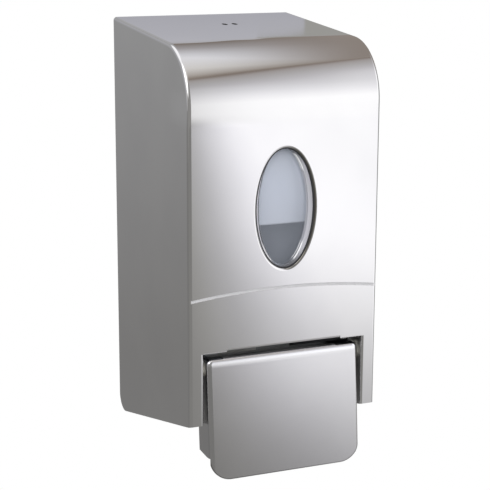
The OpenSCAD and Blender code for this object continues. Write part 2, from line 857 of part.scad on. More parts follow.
module plunger() {
    piston_d = bore_d - 2 * piston_gap;
    color("white") wall_frame() at(0, axis_h) difference() {
        union() {
            bar(pad_d, pad_rear, pad_face);
            bar(rod_d, piston_front, pad_rear);
            bar(piston_d, piston_rear, piston_front);
        }
        translate([0, -piston_mid, 0]) rotate([90, 0, 0])
            seal_groove(piston_d, ring_mid_d - ring_d, ring_d + seat_play);
    }
}

module piston_ring() {
    color("dimgray") wall_frame() at(piston_mid, axis_h) rotate([90, 0, 0]) seal_ring(ring_mid_d, ring_d);
}

module return_spring() {
    color("gray") wall_frame() at(chamber_end, axis_h) rotate([90, 0, 0])
        coil_spring(return_wire, return_coil, return_turns, chamber_l);
}

module pump_body() {
    flow_r = stem_d / 2 + flow_d;
    color("whitesmoke") wall_frame() difference() {
        union() {
            at(0, axis_h) bar(barrel_d, barrel_rear, barrel_front);
            at(inlet_u, 0) post(neck_d, axis_h, shelf_under);
            at(inlet_u, shelf_under - flange_t) linear_extrude(flange_t)
                round_plate(flange_l, flange_w, head_dia);
            at(outlet_u, 0) post(outlet_d, outlet_end, axis_h);
        }
        at(0, axis_h) bar(bore_d, chamber_end, barrel_front + cut);
        at(inlet_u, 0) {
            post(socket_d, seat_top, shelf_under + cut);
            post(valve_bore, axis_h, seat_low);
            post(stem_d + 2 * push_gap, axis_h, shelf_under);
            for (turn = [0 : 90 : 270]) rotate(turn)
                translate([flow_r, 0, 0]) post(flow_d, axis_h, shelf_under);
        }
        at(outlet_u, 0) post(outlet_bore, outlet_end - cut, axis_h);
        for (s = sides) at(inlet_u, 0, s * flange_pitch / 2)
            post(screw_d + 2 * screw_gap, shelf_under - flange_t - cut, shelf_under + cut);
    }
}

module pump_cap() {
    inside = barrel_d + 2 * push_gap;
    outer = inside + 2 * cap_wall;
    color("white") wall_frame() at(0, axis_h) difference() {
        bar(outer, barrel_front - cap_collar, barrel_front + cap_plate);
        bar(inside, barrel_front - cap_collar - cut, barrel_front);
        bar(rod_d + 2 * running_gap, barrel_front - cut, barrel_front + cap_plate + cut);
        for (i = [1 : grip_count]) rotate([0, 360 * i / grip_count, 0]) translate([outer / 2, 0, 0])
            bar(grip_groove, barrel_front - cap_collar - cut, barrel_front + cap_plate + cut);
    }
}

module inlet_valve() {
    color("ivory") wall_frame() at(inlet_u, 0) {
        post(disc_d, seat_low - disc_t, seat_low);
        post(stem_d, seat_low, seat_top + disc_t);
        post(stem_d + 2 * disc_t, seat_top, seat_top + disc_t);
    }
}

module nozzle() {
    socket = outlet_d + 2 * push_gap;
    outer = socket + 2 * nozzle_wall;
    ledge = outlet_end - bill_flange;
    color("white") wall_frame() at(outlet_u, 0) difference() {
        union() {
            post(outer, ledge - nozzle_wall, axis_h - barrel_d / 2 - push_gap);
            translate([0, 0, tip_h]) cylinder(d1 = tip_d, d2 = outer, h = ledge - nozzle_wall - tip_h);
        }
        post(socket, ledge, axis_h);
        post(tip_bore, tip_h - cut, axis_h);
    }
}

module outlet_valve() {
    ledge = outlet_end - bill_flange;
    color("ivory") wall_frame() at(outlet_u, 0) difference() {
        union() {
            post(outlet_d, ledge, outlet_end);
            hull() {
                post(bill_d, ledge - bill_lip, ledge, $fn = 32);
                translate([-bill_d / 2, -bill_lip / 2, ledge - bill_l]) cube([bill_d, bill_lip, bill_lip]);
            }
        }
        post(bill_d - 2 * bill_lip, ledge - bill_lip, outlet_end + cut);
    }
}

module pump_screws() {
    color("gray") wall_frame() for (s = sides)
        at(inlet_u, shelf_under - flange_t, s * flange_pitch / 2) small_screw(flange_t + shelf_t - seat_play);
}

// The tank's solid form, drawn in by skin, up to a given height
module tank_form(skin, top) {
    for (part = [[tank_front, step_h], [sump_front, sump_floor]])
        at((part[0] + tank_back) / 2, part[1] + skin) linear_extrude(top - part[1] - skin)
            round_plate(2 * (tank_half - skin), part[0] - tank_back - 2 * skin, tank_corner - skin);
}

module reservoir() {
    color("aliceblue") wall_frame() difference() {
        union() {
            tank_form(0, tank_top);
            at(inlet_u, 0) post(spigot_d, spigot_end, sump_floor + tank_wall / 2);
        }
        tank_form(tank_wall, tank_top + cut);
        at(inlet_u, 0) post(spigot_bore, spigot_end - cut, sump_floor + tank_wall + cut);
        at(inlet_u, spigot_seal_h)
            seal_groove(spigot_d, spigot_seal_d - spigot_ring, spigot_ring + seat_play);
    }
}

module spigot_ring_seal() {
    color("dimgray") wall_frame() at(inlet_u, spigot_seal_h) seal_ring(spigot_seal_d, spigot_ring);
}

module reservoir_lid() {
    depth = tank_front - tank_back;
    skin = tank_wall + lip_gap;
    color("aliceblue") wall_frame() at((tank_front + tank_back) / 2, tank_top) {
        linear_extrude(lid_t) round_plate(2 * tank_half, depth, tank_corner);
        translate([0, 0, -lid_lip]) linear_extrude(lid_lip) difference() {
            round_plate(2 * (tank_half - skin), depth - 2 * skin, tank_corner - skin);
            round_plate(2 * (tank_half - skin - lip_wall), depth - 2 * (skin + lip_wall),
                tank_corner - skin - lip_wall);
        }
        for (s = sides) translate([-grip_l / 2, s * depth / 4 - lip_wall / 2, lid_t])
            cube([grip_l, lip_wall, grip_h]);
    }
}

module tank_shelf() {
    color("white") wall_frame() difference() {
        union() {
            slab(2 * shelf_half, [shelf_back, shelf_front], [shelf_under, sump_floor]);
            slab(2 * shelf_half, [shelf_back, shelf_back + shelf_t], [shelf_under - apron_h, shelf_under]);
            for (s = sides) translate([s * (shelf_half - web_t / 2), 0, 0]) across(web_t) polygon([
                [shelf_back, shelf_under], [shelf_front, shelf_under],
                [shelf_front, shelf_under - shelf_t], [shelf_back + shelf_t, shelf_under - apron_h],
                [shelf_back, shelf_under - apron_h]
            ]);
        }
        at(inlet_u, 0) post(spigot_d + 2 * shelf_play, shelf_under - cut, sump_floor + cut);
        for (s = sides) at(inlet_u, 0, s * flange_pitch / 2)
            post(screw_d + 2 * screw_gap, shelf_under - cut, sump_floor + cut);
        apron_places() bar(screw_d + 2 * screw_gap, 0, past);
    }
}

// The four places where the shelf is screwed to the wall plate
module apron_places() {
    for (s = sides, t = sides)
        at(0, apron_mid + t * apron_pitch_z / 2, s * apron_pitch_x / 2) children();
}

module shelf_screws() {
    front = shelf_back + shelf_t;
    color("gray") wall_frame() apron_places() translate([0, -front, 0]) rotate([-90, 0, 0])
        small_screw(front - plate_t - seat_play);
}

module wall_plate() {
    arm_half = guide_half_w + guide_wall;
    guide_rear = key_u - guide_half_d;
    arm_front = key_u + guide_half_d + guide_wall;
    color("whitesmoke") wall_frame() difference() {
        union() {
            slab(2 * plate_half, [0, plate_t], [plate_low, plate_top]);
            slab(2 * plate_half, [0, rim_d], [plate_top - rim_t, plate_top]);
            for (s = sides) {
                slab(rim_t, [0, rim_d], [plate_low, plate_top], s * (plate_half - rim_t / 2));
                slab(lug_t, [0, heel_u], [heel_h - lug_r, heel_h + lug_r], s * (plate_half - lug_t / 2));
                mirror([s < 0 ? 1 : 0, 0, 0]) at(heel_u, heel_h)
                    cross_bar(2 * lug_r, plate_half - lug_t, plate_half);
                slab(rib_t, [0, tank_back], [sump_floor, tank_top], s * rib_pitch / 2);
            }
            apron_places() bar(boss_d, 0, shelf_back);
            slab(2 * arm_half, [0, arm_front], [guide_floor - guide_wall, guide_top], key_x);
        }
        slab(2 * guide_half_w, [guide_rear, key_u + guide_half_d], [guide_floor, cover_h], key_x);
        slab(2 * guide_half_w, [plate_t, guide_rear - guide_wall], [guide_floor, plate_top - rim_t], key_x);
        at(heel_u, heel_h) cross_bar(stud_d + 2 * running_gap, -cover_w, cover_w);
        apron_places() bar(screw_d + 2 * screw_gap, plate_t, past);
        for (s = sides, t = sides)
            at(-cut, screw_mid + t * screw_pitch_z / 2, s * screw_pitch_x / 2) bar(screw_hole, 0, past);
    }
}

module latch_bolt() {
    rear = key_u - bolt_d / 2;
    front = key_u + bolt_d / 2;
    color("ivory") wall_frame() difference() {
        translate([key_x, 0, 0]) across(bolt_w) polygon([
            [rear, bolt_low], [front, bolt_low], [front, bolt_top - bolt_ramp],
            [front - bolt_ramp, bolt_top], [rear, bolt_top]
        ]);
        at(key_u, 0, key_x)
            post(latch_coil + latch_wire + 2 * pocket_gap, bolt_low - cut, bolt_low + pocket_l);
    }
}

module latch_spring() {
    color("gray") wall_frame() at(key_u, guide_floor, key_x)
        coil_spring(latch_wire, latch_coil, latch_turns, bolt_room + pocket_l);
}

cover_shell();
hinge_studs();
cover_catch();
window_gasket();
window_lens();
lever_pin();
pin_clips();
push_lever();
lever_bushes();
lever_pusher();
plunger();
piston_ring();
return_spring();
pump_body();
pump_cap();
inlet_valve();
nozzle();
outlet_valve();
pump_screws();
reservoir();
spigot_ring_seal();
reservoir_lid();
tank_shelf();
shelf_screws();
wall_plate();
latch_bolt();
latch_spring();
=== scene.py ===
import json
import math

import bmesh
import bpy
import numpy as np
from mathutils import Matrix, Vector


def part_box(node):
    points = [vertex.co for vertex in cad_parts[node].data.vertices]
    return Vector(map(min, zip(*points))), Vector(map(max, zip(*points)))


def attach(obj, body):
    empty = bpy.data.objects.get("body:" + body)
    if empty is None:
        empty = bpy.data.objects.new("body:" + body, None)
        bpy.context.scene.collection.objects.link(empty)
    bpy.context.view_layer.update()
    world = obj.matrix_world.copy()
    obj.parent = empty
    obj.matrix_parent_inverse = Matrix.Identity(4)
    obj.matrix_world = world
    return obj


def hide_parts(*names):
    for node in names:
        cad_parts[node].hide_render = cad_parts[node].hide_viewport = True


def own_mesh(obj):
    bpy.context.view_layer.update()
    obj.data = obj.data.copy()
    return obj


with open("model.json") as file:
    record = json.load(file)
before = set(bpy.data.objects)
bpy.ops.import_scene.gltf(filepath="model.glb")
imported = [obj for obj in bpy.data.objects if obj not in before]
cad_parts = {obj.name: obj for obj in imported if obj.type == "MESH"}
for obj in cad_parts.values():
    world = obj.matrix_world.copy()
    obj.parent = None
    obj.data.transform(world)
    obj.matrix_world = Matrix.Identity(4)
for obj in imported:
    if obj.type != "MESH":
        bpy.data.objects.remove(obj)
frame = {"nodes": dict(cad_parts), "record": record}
nodes = frame["nodes"]
scene = bpy.context.scene
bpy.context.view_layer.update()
print("frame loaded:", len(nodes), "nodes")


# Shader maths as plain expressions: a wire is one output socket of a node tree
class Wire:
    def __init__(self, tree, socket=None):
        self.tree = tree
        self.socket = socket

    # any node: its type, its settings, its sockets' values or wires, and which output to go on from
    def node(self, kind, settings=None, sockets=None, out=0):
        made = self.tree.nodes.new(kind)
        for key, value in (settings or {}).items():
            if key == "stops":
                ramp = made.color_ramp
                while len(ramp.elements) < len(value):
                    ramp.elements.new(0.5)
                for element, (place, colour) in zip(ramp.elements, value):
                    element.position = place
                    element.color = tuple(colour) + (1,)
            elif key == "spread":
                made.color_ramp.interpolation = value
            else:
                setattr(made, key, value)
        for key, value in (sockets or {}).items():
            if isinstance(value, Wire):
                self.tree.links.new(value.socket, made.inputs[key])
            else:
                made.inputs[key].default_value = value
        return Wire(self.tree, made.outputs[out] if made.outputs else None)

    def math(self, operation, *values):
        return self.node("ShaderNodeMath", {"operation": operation}, dict(enumerate(values)))

    def __add__(self, other):
        return self.math("ADD", self, other)

    def __radd__(self, other):
        return self.math("ADD", other, self)

    def __sub__(self, other):
        return self.math("SUBTRACT", self, other)

    def __rsub__(self, other):
        return self.math("SUBTRACT", other, self)

    def __mul__(self, other):
        return self.math("MULTIPLY", self, other)

    def __rmul__(self, other):
        return self.math("MULTIPLY", other, self)

    def __truediv__(self, other):
        return self.math("DIVIDE", self, other)

    def __rtruediv__(self, other):
        return self.math("DIVIDE", other, self)

    def __neg__(self):
        return self.math("MULTIPLY", self, -1)

    def __abs__(self):
        return self.math("ABSOLUTE", self)

    def root(self):
        return self.math("SQRT", self)

    # the larger or the smaller of two, and a value held between 0 and 1
    def atLeast(self, other):
        return self.math("MAXIMUM", self, other)

    def atMost(self, other):
        return self.math("MINIMUM", self, other)

    def held(self):
        return self.atLeast(0).atMost(1)

    # 0 below low, 1 above high, smooth between
    def step(self, low, high):
        return self.node("ShaderNodeMapRange", {"interpolation_type": "SMOOTHSTEP"},
                         {"Value": self, "From Min": low, "From Max": high})

    # 0 below a limit and 1 above it, with a change of this half width
    def past(self, limit, half):
        return self.step(limit - half, limit + half)

    # 0, then 1 after the first span, and 0 again after the second
    def within(self, rise, fall):
        return self.step(*rise) * (1 - self.step(*fall))

    # a colour between two, by this value
    def blend(self, first, second):
        return self.node("ShaderNodeMix", {"data_type": "RGBA", "blend_type": "MIX"},
                         {0: self, 6: colour4(first), 7: colour4(second)}, 2)

    def parts(self):
        split = self.node("ShaderNodeSeparateXYZ", None, {0: self}).socket.node
        return [Wire(self.tree, socket) for socket in split.outputs]

    # the place on the object, stretched per axis
    def place(self, scale=(1, 1, 1)):
        where = self.node("ShaderNodeTexCoord", None, None, "Object")
        return self.node("ShaderNodeMapping", None, {"Vector": where, "Scale": scale})

    def noise(self, scale, detail, rough, stretch=(1, 1, 1)):
        return self.node("ShaderNodeTexNoise", None, {"Vector": self.place(stretch), "Scale": scale,
                                                      "Detail": detail, "Roughness": rough})

    # what kind of ray looks at the surface
    def ray(self, kind):
        return self.node("ShaderNodeLightPath", None, None, kind)


def colour4(value):
    return value if isinstance(value, Wire) else tuple(value) + (1,)


def newMaterial(name, build):
    made = bpy.data.materials.new(name)
    made.use_nodes = True
    made.node_tree.nodes.clear()
    start = Wire(made.node_tree)
    start.node("ShaderNodeOutputMaterial", None, {"Surface": build(start)})
    return made


def surface(start, sockets, bump, lift, far):
    normal = start.node("ShaderNodeBump", None, {"Height": bump, "Strength": lift, "Distance": far})
    return start.node("ShaderNodeBsdfPrincipled", None, {**sockets, "Normal": normal})


# Steels: a fine drawn grain along one axis and soft smears
polished = {"tone": (0.80, 0.795, 0.785), "tint": (0.765, 0.76, 0.755), "rough": 0.042,
            "grain": (14, 14, 0.6), "grainLift": 0.0000008, "smear": 0.012, "fine": 300}
satin = {"tone": (0.705, 0.70, 0.70), "tint": (0.67, 0.665, 0.665), "rough": 0.16,
         "grain": (0.6, 14, 14), "grainLift": 0.000006, "smear": 0.03, "fine": 260}
plain = {"tone": (0.62, 0.61, 0.60), "tint": (0.48, 0.47, 0.46), "rough": 0.34,
         "grain": (6, 6, 6), "grainLift": 0.000018, "smear": 0.12, "fine": 400}
springWire = {"tone": (0.50, 0.50, 0.51), "tint": (0.36, 0.36, 0.37), "rough": 0.30,
              "grain": (8, 8, 8), "grainLift": 0.000015, "smear": 0.12, "fine": 500}
steelSkin = {"grain": (4, 0.6), "grainShare": 0.5, "cloud": (22, 3, 0.5), "cloudEdge": (0.3, 0.75)}


def steel(look, dress=None):
    def build(start):
        grain = start.noise(look["fine"], *steelSkin["grain"], look["grain"])
        cloud = start.noise(*steelSkin["cloud"])
        uneven = 1 + (grain - 0.5) * steelSkin["grainShare"]
        sockets = {"Base Color": cloud.step(*steelSkin["cloudEdge"]).blend(look["tint"], look["tone"]),
                   "Metallic": 1.0, "Roughness": look["rough"] * uneven + (cloud - 0.5) * look["smear"]}
        height = grain * look["grainLift"]
        if dress:
            height = dress(start, sockets, height)
        return surface(start, sockets, height, 1, 1)
    return build


# The cover: the front eases into the brow, the line across it is etched matt, and painted shade makes the key
# holes and a rim round them black.
# The inside of the sheet is dull, with painted shade darkening it near the lever's opening
coverSheet = {"front": 0.1213, "side": 0.0544, "top": 0.1274, "faceSoft": 0.0002,
              "fall": math.tan(math.radians(4.2)),
              "browY": -0.090, "browZ": 0.0893, "browR": 0.0314, "browSoft": 0.00001, "quarterSoft": 0.0005,
              "ease": (0.0793, 0.0993), "easeDeep": 0.00093, "easeEnd": (-0.112, -0.085),
              "inside": (0.46, 0.455, 0.45), "insideRough": 0.45,
              "insidePaintedShade": (0.12, 0.12, 0.125), "paintedShadeEnd": (-0.030, 0.030),
              "hemZ": -0.0397, "hemHalf": 0.0469, "hemSoft": 0.0001, "hemRough": 0.38,
              "tongueLow": (-0.0402, -0.0400), "tongueHigh": (-0.0386, -0.0384), "tongueEnd": (0.0333, 0.0335),
              "lineMiddle": (-0.002, -0.3977), "lineR": 0.390, "lineEdge": (0.0006, 0.0009),
              "lineFront": (0.1210, 0.1212), "lineEnd": (0.0532, 0.0536),
              "lineTone": (0.70, 0.70, 0.71), "lineDull": 0.75,
              "keyMiddle": (0.0015, -0.039), "keyHalf": 0.003, "keyLong": 0.55, "keyR": (0.0014, 0.0017),
              "keyFrom": (0.11, 0.115), "keyShadeTone": (0.004, 0.004, 0.004)}


def dressCover(start, sockets, height):
    look = coverSheet
    x, y, z = start.place().parts()
    wide, forward = abs(x), -y
    height = height - z.step(*look["ease"]) * (1 - y.step(*look["easeEnd"])) * look["easeDeep"]

    # the outer faces: ahead, beside, above and round the brow, and the bent-in edges below the hem
    ahead = forward.past(look["front"], look["faceSoft"])
    beside = wide.past(look["side"], look["faceSoft"])
    above = (z - y * look["fall"]).past(look["top"], look["faceSoft"])
    away, rise = look["browY"] - y, z - look["browZ"]
    brow = (away * away + rise * rise).past(look["browR"] ** 2, look["browSoft"])
    brow = brow * away.past(0, look["quarterSoft"]) * rise.past(0, look["quarterSoft"])
    hem = 1 - z.past(look["hemZ"], look["hemSoft"])
    hem = hem * (1 - wide.past(look["hemHalf"], look["hemSoft"]))
    outer = ahead.atLeast(beside).atLeast(above.atLeast(brow)).atLeast(hem)
    tongue = z.within(look["tongueLow"], look["tongueHigh"]) * (1 - wide.step(*look["tongueEnd"]))

    # the line is an arc about a point far below, and the painted shade of each key hole a short slot
    aside, up = x - look["lineMiddle"][0], z - look["lineMiddle"][1]
    off = abs((aside * aside + up * up).root() - look["lineR"])
    line = (1 - off.step(*look["lineEdge"])) * forward.step(*look["lineFront"])
    line = line * (1 - wide.step(*look["lineEnd"]))
    keyAside = abs(x - look["keyMiddle"][0]) - look["keyHalf"]
    keyAway = (y - look["keyMiddle"][1]) * look["keyLong"]
    keyShade = 1 - (keyAside * keyAside + keyAway * keyAway).root().step(*look["keyR"])
    keyShade = keyShade * z.step(*look["keyFrom"])

    # painted shade: the inside of the sheet is darker towards the lever's opening
    inside = z.step(*look["paintedShadeEnd"]).blend(look["insidePaintedShade"], look["inside"])
    tone = line.blend(outer.blend(inside, sockets["Base Color"]), look["lineTone"])
    # painted shade: black over the key holes and a rim round them
    sockets["Base Color"] = keyShade.blend(tone, look["keyShadeTone"])
    dull = look["insideRough"] + (sockets["Roughness"] - look["insideRough"]) * outer
    dull = dull + (look["hemRough"] - dull) * tongue.atLeast(hem)
    sockets["Roughness"] = dull + (1 - dull) * line.atLeast(keyShade)
    sockets["Metallic"] = 1 - (line * look["lineDull"]).atLeast(keyShade)
    return height


# The lever: its face eases over into the top fold, which carries a painted highlight, and painted shade darkens
# its lower edge
leverSheet = {"easeFrom": -0.0488, "easeR": 0.017,
              "foldHighlight": (-0.0480, -0.0464), "foldHighlightTone": (0.85, 0.85, 0.865),
              "half": 0.0445, "low": -0.1106, "corner": 0.012,
              "edge": (0.0003, 0.0008), "edgeFrom": (0, 0.002), "edgeShadeTone": (0.36, 0.355, 0.35)}


def dressLever(start, sockets, height):
    look = leverSheet
    x, _, z = start.place().parts()
    past = (z - look["easeFrom"]).atLeast(0)
    height = height - past * past * (0.5 / look["easeR"])
    aside = (abs(x) - (look["half"] - look["corner"])).atLeast(0)
    below = (look["low"] + look["corner"] - z).atLeast(0)
    inward = look["corner"] - (aside * aside + below * below).root()
    # painted shade: a dark band along the lower edge and round its lower corners
    rim = (1 - inward.step(*look["edge"])) * below.step(*look["edgeFrom"])
    # painted highlight: the top fold is lighter
    tone = z.step(*look["foldHighlight"]).blend(sockets["Base Color"], look["foldHighlightTone"])
    sockets["Base Color"] = rim.blend(tone, look["edgeShadeTone"])
    return height


# Moulded plastics: a matt spark-eroded skin with slow changes of tone
greyMoulding = {"tone": (0.40, 0.41, 0.42), "dark": (0.33, 0.34, 0.35),
                "rough": 0.48, "skin": 900, "lift": 0.10}
whiteMoulding = {"tone": (0.82, 0.82, 0.80), "dark": (0.74, 0.74, 0.71),
                 "rough": 0.36, "skin": 700, "lift": 0.05}
nylon = {"tone": (0.80, 0.78, 0.71), "dark": (0.72, 0.70, 0.62),
         "rough": 0.42, "skin": 600, "lift": 0.05}
blackNylon = {"tone": (0.035, 0.035, 0.037), "dark": (0.024, 0.024, 0.026),
              "rough": 0.45, "skin": 600, "lift": 0.05}
seal = {"tone": (0.030, 0.030, 0.032), "dark": (0.018, 0.018, 0.020),
        "rough": 0.55, "skin": 800, "lift": 0.12}
silicone = {"tone": (0.70, 0.66, 0.58), "dark": (0.62, 0.57, 0.48),
            "rough": 0.50, "skin": 600, "lift": 0.06}
mouldSkin = {"grain": (3, 0.6), "grainShare": 0.14, "deep": 0.0002,
             "cloud": (30, 3, 0.5), "cloudShare": 0.08, "cloudEdge": (0.3, 0.7)}


def moulding(look, dress=None):
    def build(start):
        skin = start.noise(look["skin"], *mouldSkin["grain"])
        cloud = start.noise(*mouldSkin["cloud"])
        uneven = (skin - 0.5) * mouldSkin["grainShare"] + (cloud - 0.5) * mouldSkin["cloudShare"]
        sockets = {"Base Color": cloud.step(*mouldSkin["cloudEdge"]).blend(look["dark"], look["tone"]),
                   "Roughness": look["rough"] + uneven}
        if dress:
            dress(start, sockets)
        return surface(start, sockets, skin, look["lift"], mouldSkin["deep"])
    return build


# The tank: milky blow-moulded plastic, with painted shade that deepens its tone towards the step and below it
milky = {"tone": (0.785, 0.83, 0.925), "dark": (0.755, 0.805, 0.905),
         "rough": 0.34, "skin": 180, "lift": 0.05,
         "step": 0.0245, "stepSoft": 0.0003, "overStep": (0.022, 0.056), "overShade": 0.17,
         "underStep": (0, 0.026), "underShade": (0.50, 0.215), "through": 0.15, "ior": 1.5}


def dressTank(start, sockets):
    _, _, z = start.place().parts()
    above = z.past(milky["step"], milky["stepSoft"])
    over = (1 - z.step(*milky["overStep"])) * milky["overShade"]
    least, more = milky["underShade"]
    under = (1 - z.step(*milky["underStep"])) * more + least
    # painted shade: darker towards the step from above, half as bright below it, and darker still towards the
    # bottom
    sockets["Base Color"] = (above * over + (1 - above) * under).blend(sockets["Base Color"], (0, 0, 0))
    sockets["Transmission Weight"] = milky["through"]
    sockets["IOR"] = milky["ior"]


# The window's lens: clear in its sunk middle, frosted on the bevel, whose tone carries painted light and shade,
# with a painted dark shade line at the left and painted glints at the bevel's inner edge
pane = {"half": (0.0146, 0.0317), "middle": 0.0348, "left": (-0.7, 0.2),
        "tone": (0.80, 0.87, 1.0), "tint": (0.76, 0.83, 0.96), "rough": 0.05, "alpha": 0.08,
        "haze": (60, 3, 0.5), "hazeEdge": (0.2, 0.8), "hazeRough": 0.02, "hazeAlpha": 0.03,
        "bevel": (-0.0001, 0.0001), "frostRun": (0.0003, 0.0019), "frostEnds": (0.66, 1.0),
        "frost": (0.58, 0.58, 0.62), "frostOutShade": (0.46, 0.46, 0.49), "frostLeftLight": (0.86, 0.86, 0.90),
        "frostEndShade": (0.16, 0.16, 0.17), "frostRough": 0.32, "frostAlpha": 0.93,
        "crease": (-0.0008, -0.0005), "creaseShare": 0.8, "creaseShadeTone": (0.07, 0.07, 0.08),
        "glintIn": (-0.0004, -0.0002), "glintOut": (0.0001, 0.0003),
        "glintFrom": (0.55, 0.65), "glintTo": (0.87, 0.93), "glintUpper": (0, 0.1),
        "paintedGlintTone": (1.0, 1.0, 1.0)}


def clear(start):
    haze = start.noise(*pane["haze"])
    x, _, z = start.place().parts()
    halfWide, halfTall = pane["half"]
    across, up = x / halfWide, (z - pane["middle"]) / halfTall

    # how far outside the pane's oval a point lies: far (far - 1) over half the slope of far squared
    far = (across * across + up * up).root()
    slopeX, slopeZ = across / halfWide, up / halfTall
    off = far * (far - 1) / (slopeX * slopeX + slopeZ * slopeZ).root()
    left, ends = 1 - across.step(*pane["left"]), abs(up)
    bevel = off.step(*pane["bevel"])
    # painted shade: a dark line along the pane's edge on the left
    crease = off.step(*pane["crease"]) * (1 - bevel) * left
    # painted highlights: white glints at the bevel's inner edge, on the lower sides and the upper right
    paintedGlint = off.within(pane["glintIn"], pane["glintOut"]) * ends.within(pane["glintFrom"], pane["glintTo"])
    paintedGlint = paintedGlint * (1 - left * up.step(*pane["glintUpper"]))

    # painted light and shade on the bevel: darker towards its outer edge, lighter on the left, dark at the top
    # and bottom
    frost = off.step(*pane["frostRun"]).blend(pane["frost"], pane["frostOutShade"])
    frost = left.blend(frost, pane["frostLeftLight"])
    frost = ends.step(*pane["frostEnds"]).blend(frost, pane["frostEndShade"])
    tone = haze.step(*pane["hazeEdge"]).blend(pane["tint"], pane["tone"])
    tone = crease.blend(bevel.blend(tone, frost), pane["creaseShadeTone"])
    solid = bevel.atLeast(crease * pane["creaseShare"]).atLeast(paintedGlint)
    return start.node("ShaderNodeBsdfPrincipled", None, {
        "Base Color": paintedGlint.blend(tone, pane["paintedGlintTone"]),
        "Roughness": pane["rough"] + haze * pane["hazeRough"] + bevel * (pane["frostRough"] - pane["rough"]),
        "Alpha": pane["alpha"] + haze * pane["hazeAlpha"] + solid * (pane["frostAlpha"] - pane["alpha"])})


finishes = {
    "polished_steel": newMaterial("polishedSteel", steel(polished, dressCover)),
    "satin_steel": newMaterial("satinSteel", steel(satin, dressLever)),
    "plain_steel": newMaterial("plainSteel", steel(plain)),
    "spring_steel": newMaterial("springSteel", steel(springWire)),
    "grey_plastic": newMaterial("greyPlastic", moulding(greyMoulding)),
    "white_plastic": newMaterial("whitePlastic", moulding(whiteMoulding)),
    "white_nylon": newMaterial("whiteNylon", moulding(nylon)),
    "black_nylon": newMaterial("blackNylon", moulding(blackNylon)),
    "milky_plastic": newMaterial("milkyPlastic", moulding(milky, dressTank)),
    "clear_lens": newMaterial("clearLens", clear),
    "dark_seal": newMaterial("darkSeal", moulding(seal)),
    "soft_valve": newMaterial("softValve", moulding(silicone)),
}
slotOf = {row["node"]: row["material_slot"] for row in frame["record"]["subparts"]}
for name, piece in nodes.items():
    piece.data.materials.clear()
    piece.data.materials.append(finishes[slotOf[name]])
print("finishes set on", len(slotOf), "nodes")

meshing = {"merge": 1e-7, "sharp": 40}


# A piece from whole arrays of points and four-sided faces: doubles are merged, so seams and poles close
def newPiece(name, points, faces, finish, sharp=meshing["sharp"]):
    mesh = bpy.data.meshes.new(name)
    mesh.from_pydata(points.reshape(-1, 3).tolist(), [], faces.reshape(-1, 4).tolist())
    shape = bmesh.new()
    shape.from_mesh(mesh)
    bmesh.ops.remove_doubles(shape, verts=shape.verts, dist=meshing["merge"])
    bmesh.ops.recalc_face_normals(shape, faces=shape.faces)
    shape.to_mesh(mesh)
    shape.free()
    mesh.polygons.foreach_set("use_smooth", np.ones(len(mesh.polygons), bool))
    mesh.set_sharp_from_angle(angle=math.radians(sharp))
    mesh.materials.append(finish)
    made = bpy.data.objects.new(name, mesh)
    scene.collection.objects.link(made)
    return made


# Faces between neighbouring rows and columns of a grid, going on round from the last to the first where asked
def gridFaces(rows, columns, roundRows, roundColumns):
    index = np.arange(rows * columns).reshape(rows, columns)
    if roundRows:
        index = np.vstack((index, index[:1]))
    if roundColumns:
        index = np.hstack((index, index[:, :1]))
    return np.stack((index[:-1, :-1], index[:-1, 1:], index[1:, 1:], index[1:, :-1]), -1)


# Window: each row of a profile is an oval set off from the window's edge, at its own depth behind the front:
# x = size (half width + offset) cos, z = middle + size (half height + rise) sin, y = front + depth
window = {"half": (0.0167, 0.0323), "middle": 0.0348, "front": -0.122, "steps": 240}


def ovalRings(offset, depth, size=1, rise=None):
    turn = np.linspace(0, math.tau, window["steps"], endpoint=False)
    rise = offset if rise is None else rise
    columns = (np.atleast_1d(values)[:, None] for values in (offset, depth, size, rise))
    offset, depth, size, rise = np.broadcast_arrays(*columns)
    halfWide, halfTall = window["half"]
    x = size * (halfWide + offset) * np.cos(turn)
    z = window["middle"] + size * (halfTall + rise) * np.sin(turn)
    return np.stack((x, window["front"] + depth + 0 * turn, z), -1)


# a soft corner: points along the curve (1-t)^2 first + 2t(1-t) corner + t^2 last
def softCorner(first, corner, last, count=6):
    t = np.linspace(0, 1, count)[:, None]
    return (1 - t) ** 2 * np.array(first) + 2 * t * (1 - t) * np.array(corner) + t ** 2 * np.array(last)


bead = {"outer": 0.0006, "land": -0.00005, "inner": -0.0004, "front": 0.00053, "rear": 0.0013,
        "fall": 0.0004, "soft": 0.00015}


# the seal's bead over the lens' edge: a band that falls inwards from the sheet's edge, with a soft inner edge
def makeBead():
    outer, inner, front, rear, soft = (bead[key] for key in ("outer", "inner", "front", "rear", "soft"))
    edge = front + bead["fall"]
    profile = np.vstack(((outer, front), (bead["land"], front),
                         softCorner((inner + 2 * soft, edge - 0.5 * soft), (inner, edge), (inner, edge + soft)),
                         (inner, rear), (outer, rear)))
    made = newPiece("windowBead", ovalRings(profile[:, 0], profile[:, 1]),
                    gridFaces(len(profile), window["steps"], True, True), finishes["dark_seal"])
    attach(made, "cover")


lip = {"reach": 0.00158, "wide": 0.0012, "drop": 0.0005, "back": 0.00057, "steps": 14,
       "shade": (0.00002, 0.00025), "shadeFrom": (-0.004, 0.010), "shadeTone": (0.24, 0.225, 0.19)}


# painted shade: the lip's inner edge is darker towards the right
def dressLip(start, sockets, height):
    x, y, _ = start.place().parts()
    shade = (y - window["front"]).step(*lip["shade"]) * x.step(*lip["shadeFrom"])
    sockets["Base Color"] = shade.blend(sockets["Base Color"], lip["shadeTone"])
    return height


